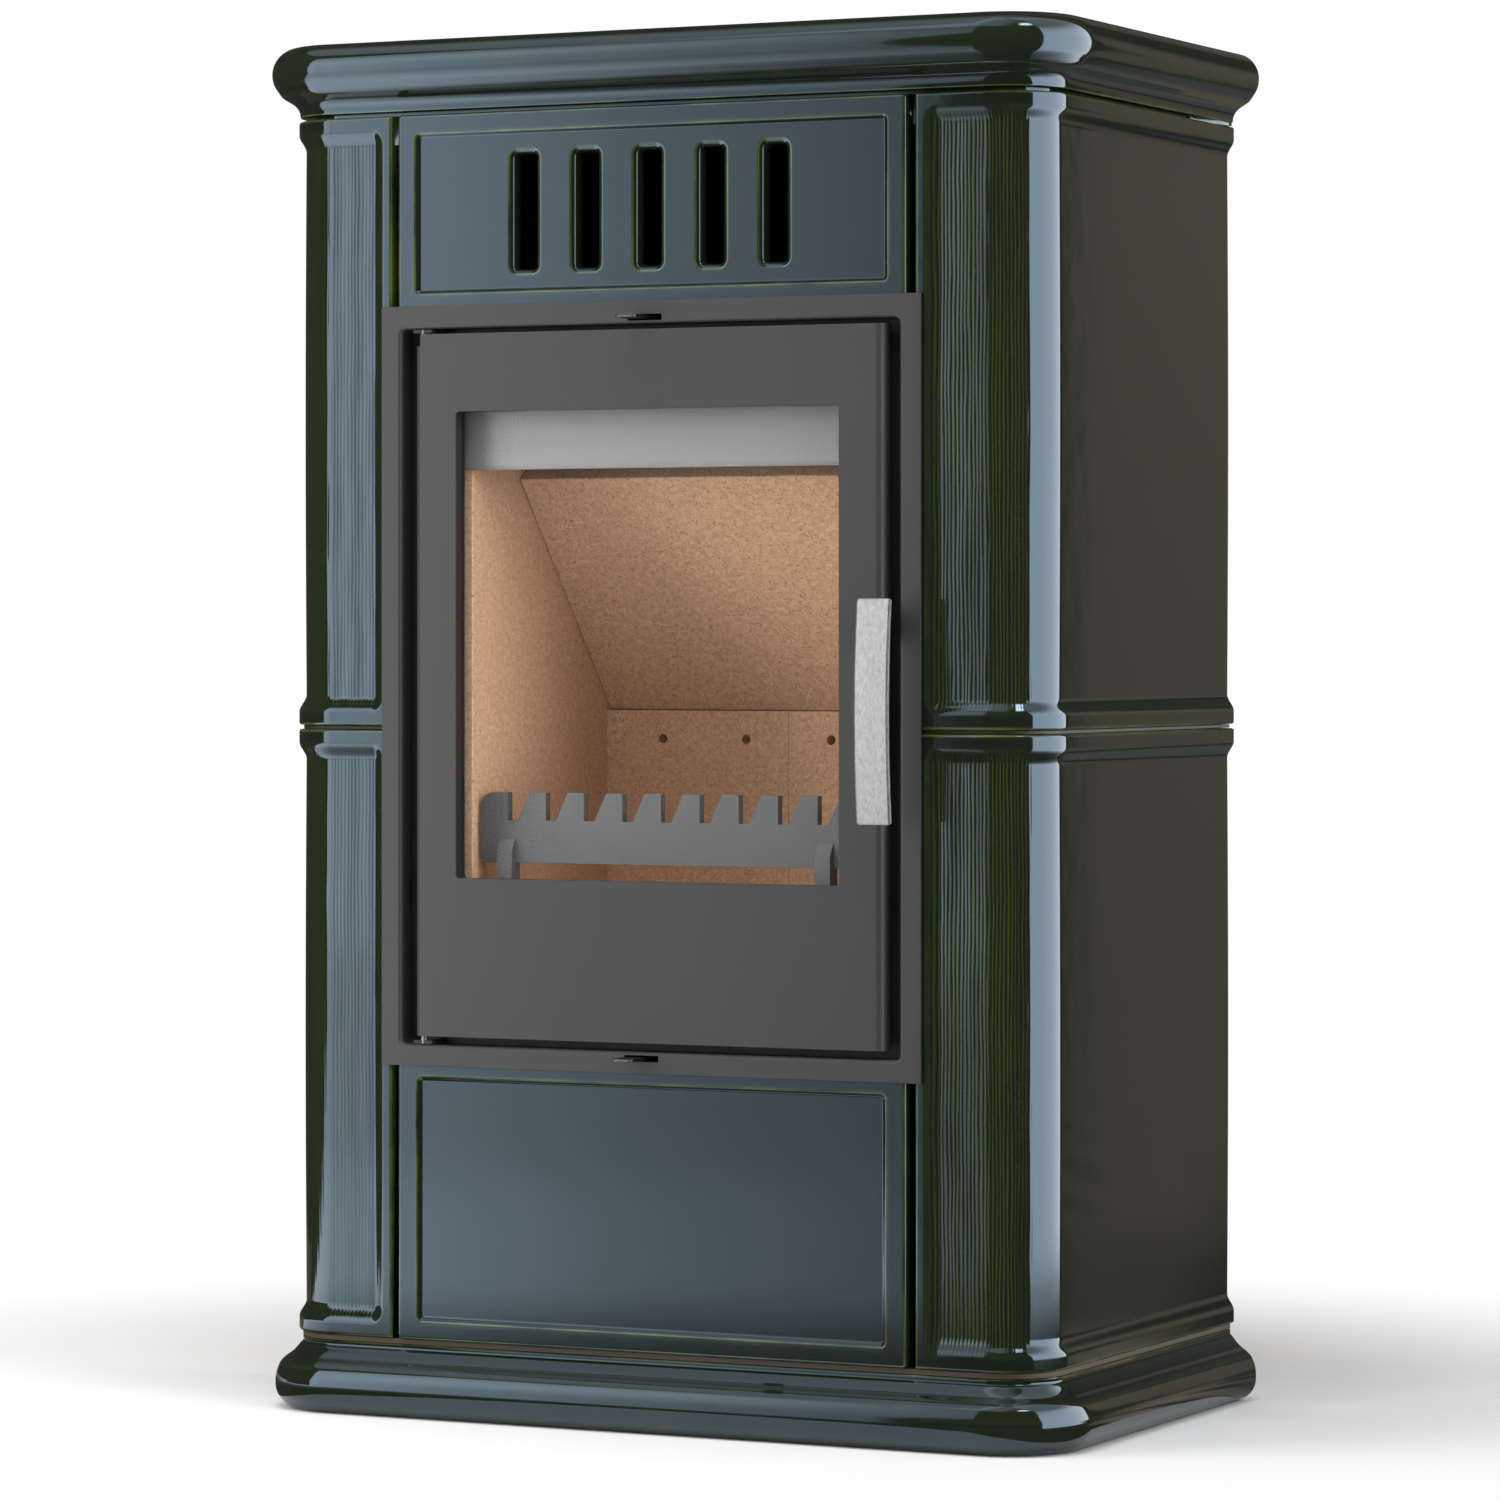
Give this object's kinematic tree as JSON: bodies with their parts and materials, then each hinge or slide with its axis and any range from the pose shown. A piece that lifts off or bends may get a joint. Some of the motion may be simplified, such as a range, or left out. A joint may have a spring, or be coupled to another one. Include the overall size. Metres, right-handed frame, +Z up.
{
  "type": "tiled stove",
  "caption": "Free-standing wood stove clad in dark green glazed tiles, with a tall window door, bowed handle, air slides and a rear flue outlet.",
  "frame": {"origin": "on the floor, in the middle of the whole part's box", "axes": "+Z up, the door faces -Y, +X to the right seen from the front"},
  "size_m": [0.6386, 0.4186, 0.98],
  "materials": {
    "glaze": "dark bottle-green gloss glaze, olive where it thins on edges",
    "grey_enamel": "matt dark grey stove enamel",
    "black_steel": "matt black heat-proof paint",
    "galvanised": "zinc-coated sheet",
    "brown_steel": "brown satin",
    "fire_brick": "pressed vermiculite, fine flakes",
    "cast_grey": "grey casting",
    "stainless": "tumbled stainless, bright edges",
    "rope": "woven heat-proof rope and tape",
    "window": "clear glass ceramic"
  },
  "bodies": {
    "stove_body": {"cornice_tile": "glaze", "plinth_tile": "glaze", "front_tile_upper": "glaze", "front_tile_lower": "glaze", "corner_tile_upper_left": "glaze", "corner_tile_upper_right": "glaze", "corner_tile_lower_left": "glaze", "corner_tile_lower_right": "glaze", "door_frame": "grey_enamel", "air_deflector": "grey_enamel", "rear_panel": "black_steel", "top_cover": "black_steel", "pedestal": "black_steel", "firebox_front": "black_steel", "firebox_shell": "black_steel", "flue_collar": "black_steel", "hearth_plate": "black_steel", "rear_air_frame": "black_steel", "ash_runner_left": "black_steel", "ash_runner_right": "black_steel", "primary_air_duct": "black_steel", "secondary_air_duct": "black_steel", "hinge_bracket_lower": "black_steel", "hinge_bracket_upper": "black_steel", "lintel_rail": "galvanised", "side_panel_left": "galvanised", "side_panel_right": "galvanised", "levelling_foot_front_left": "galvanised", "levelling_foot_front_right": "galvanised", "levelling_foot_rear_left": "galvanised", "levelling_foot_rear_right": "galvanised", "door_catch": "galvanised", "base_plate": "brown_steel", "joint_rail_left": "brown_steel", "joint_rail_right": "brown_steel", "side_brick_left": "fire_brick", "side_brick_right": "fire_brick", "rear_brick_left": "fire_brick", "rear_brick_right": "fire_brick", "floor_brick_left": "fire_brick", "floor_brick_right": "fire_brick", "baffle_brick": "fire_brick", "fire_grate": "cast_grey", "log_guard": "cast_grey"},
    "door": {"door_panel": "grey_enamel", "door_liner": "black_steel", "window_gasket": "rope", "window_glass": "window", "glass_retainer": "black_steel", "door_seal": "rope", "hinge_pin_lower": "galvanised", "hinge_pin_upper": "galvanised"},
    "door_handle": {"handle_bar": "stainless", "handle_lever": "black_steel", "latch_cam": "galvanised"},
    "ash_pan": {"ash_pan": "galvanised"},
    "primary_air_slide": {"primary_air_slide": "stainless"},
    "secondary_air_slide": {"secondary_air_slide": "stainless"}
  },
  "joints": [
    {"name": "door_hinge", "type": "hinge", "parent": "stove_body", "child": "door", "pos_m": [-0.178, -0.1679, 0.52], "axis": [0, 0, -1], "range_deg": [0, 110]},
    {"name": "handle_turn", "type": "hinge", "parent": "door", "child": "door_handle", "pos_m": [0.176, -0.17275, 0.563], "axis": [0, -1, 0], "range_deg": [0, 45]},
    {"name": "ash_pan_slide", "type": "slide", "parent": "stove_body", "child": "ash_pan", "axis": [0, -1, 0], "range_m": [0, 0.106]},
    {"name": "primary_air_slide", "type": "slide", "parent": "stove_body", "child": "primary_air_slide", "axis": [1, 0, 0], "range_m": [0, 0.008]},
    {"name": "secondary_air_slide", "type": "slide", "parent": "stove_body", "child": "secondary_air_slide", "axis": [1, 0, 0], "range_m": [0, 0.008]}
  ],
  "couplings": [
    {"joint": "ash_pan_slide", "follows": "door_hinge", "m_per_rad": 0.055}
  ]
}
